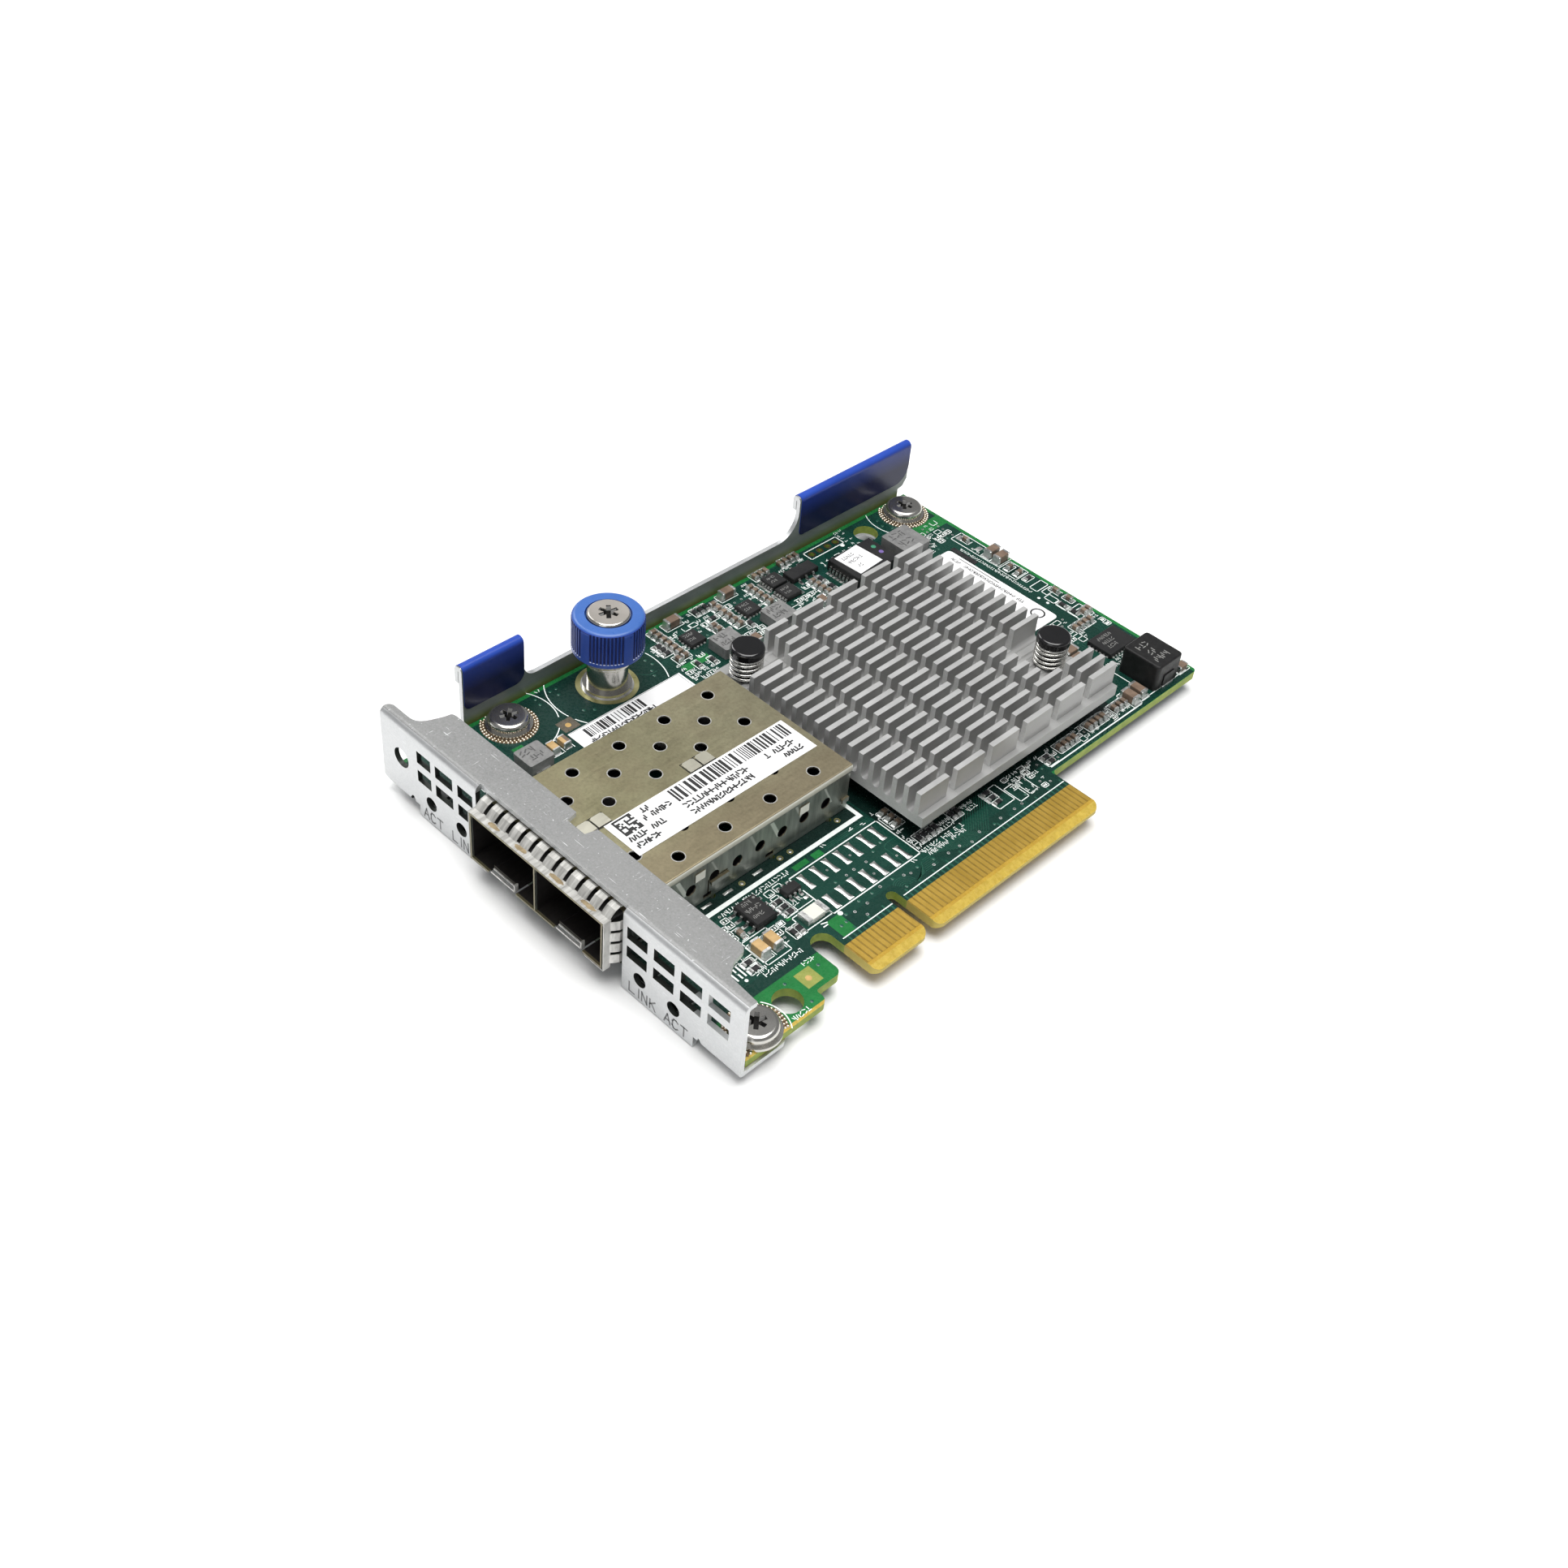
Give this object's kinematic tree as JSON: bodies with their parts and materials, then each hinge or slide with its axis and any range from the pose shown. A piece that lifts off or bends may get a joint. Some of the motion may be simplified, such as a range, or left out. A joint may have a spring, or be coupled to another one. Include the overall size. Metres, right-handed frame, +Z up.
{
  "type": "network interface card",
  "caption": "Two-port server network adapter board with pluggable-module cage, finned heat sink, edge connector, folded bracket and captive thumbscrew.",
  "frame": {"origin": "centre of the footprint, at the height of the table", "axes": "+X along the faceplate towards the edge connector, +Y from the faceplate to the rear of the board, +Z up from the board's component side"},
  "size_m": [0.0786, 0.1194, 0.0183],
  "materials": {
    "bracket": "satin zinc-plated sheet steel",
    "film": "glossy blue film",
    "board": "green solder mask on glass-fibre laminate",
    "gold": "gold plate",
    "cage": "nickel plate on copper alloy sheet",
    "gasket": "bright tin plate, stained at the welds",
    "port": "black moulded plastic",
    "sink": "clear anodised",
    "pad": "grey thermal interface pad",
    "chip": "black moulded package",
    "solder": "solder",
    "cap": "glossy black plastic",
    "spring": "bright spring wire",
    "knob": "glossy blue plastic",
    "screw": "bright nickel-plated steel",
    "ferrite": "pressed grey ferrite",
    "ferrite_black": "pressed black ferrite",
    "ceramic_cap": "fired ceramic with tinned ends",
    "ceramic_small": "fired ceramic with tinned ends",
    "resistor": "black coated ceramic with tinned ends",
    "fuse": "cream ceramic with tinned ends",
    "lamp": "clear moulded lamp",
    "paper": "white printed label"
  },
  "bodies": {
    "card": {"bracket": "bracket", "grip_film_front": "film", "grip_film_rear": "film", "circuit_board": "board", "edge_contacts": "gold", "cage_shell": "cage", "cage_top_cover": "cage", "cage_divider": "cage", "port_latches": "cage", "port_connector_left": "port", "port_connector_right": "port", "emi_gasket": "gasket", "heat_sink": "sink", "thermal_pad": "pad", "controller_chip": "chip", "chip_solder_joints": "solder", "thumbscrew_ferrule": "screw", "board_screws": "screw", "clinch_nuts": "screw", "memory_chip": "chip", "chip_label": "paper", "interface_chip": "chip", "driver_chips": "chip", "power_stage_chips": "chip", "voltage_regulator": "chip", "power_controller": "chip", "signal_transistor": "chip", "small_inductors": "ferrite", "rear_inductor": "ferrite", "large_inductor": "ferrite_black", "fuse": "fuse", "status_lamps": "lamp", "large_capacitors": "ceramic_cap", "small_capacitors": "ceramic_small", "chip_resistors": "resistor", "cage_label": "paper", "serial_label": "paper", "rear_label": "paper"},
    "thumbscrew_carrier": {"thumbscrew_washer": "screw", "thumbscrew_spring": "spring"},
    "thumbscrew": {"thumbscrew_knob": "knob", "thumbscrew_skirt": "screw", "thumbscrew_screw": "screw"},
    "pin_left": {"push_pin_left": "cap", "push_pin_spring_left": "spring"},
    "pin_right": {"push_pin_right": "cap", "push_pin_spring_right": "spring"}
  },
  "joints": [
    {"name": "thumbscrew_press", "type": "slide", "parent": "card", "child": "thumbscrew_carrier", "axis": [0, 0, 1], "range_m": [-0.0036, 0], "stiffness_N_per_m": 150, "springref_m": 0.0004, "deforming": ["thumbscrew_spring"]},
    {"name": "thumbscrew_turn", "type": "hinge", "parent": "thumbscrew_carrier", "child": "thumbscrew", "pos_m": [-0.03104, -0.01905, 0.0138], "axis": [0, 0, 1], "continuous": true},
    {"name": "pin_left_press", "type": "slide", "parent": "card", "child": "pin_left", "axis": [0, 0, 1], "range_m": [-0.0015, 0], "stiffness_N_per_m": 60, "springref_m": 0.0003, "deforming": ["push_pin_spring_left"]},
    {"name": "pin_right_press", "type": "slide", "parent": "card", "child": "pin_right", "axis": [0, 0, 1], "range_m": [-0.0015, 0], "stiffness_N_per_m": 60, "springref_m": 0.0003, "deforming": ["push_pin_spring_right"]}
  ]
}
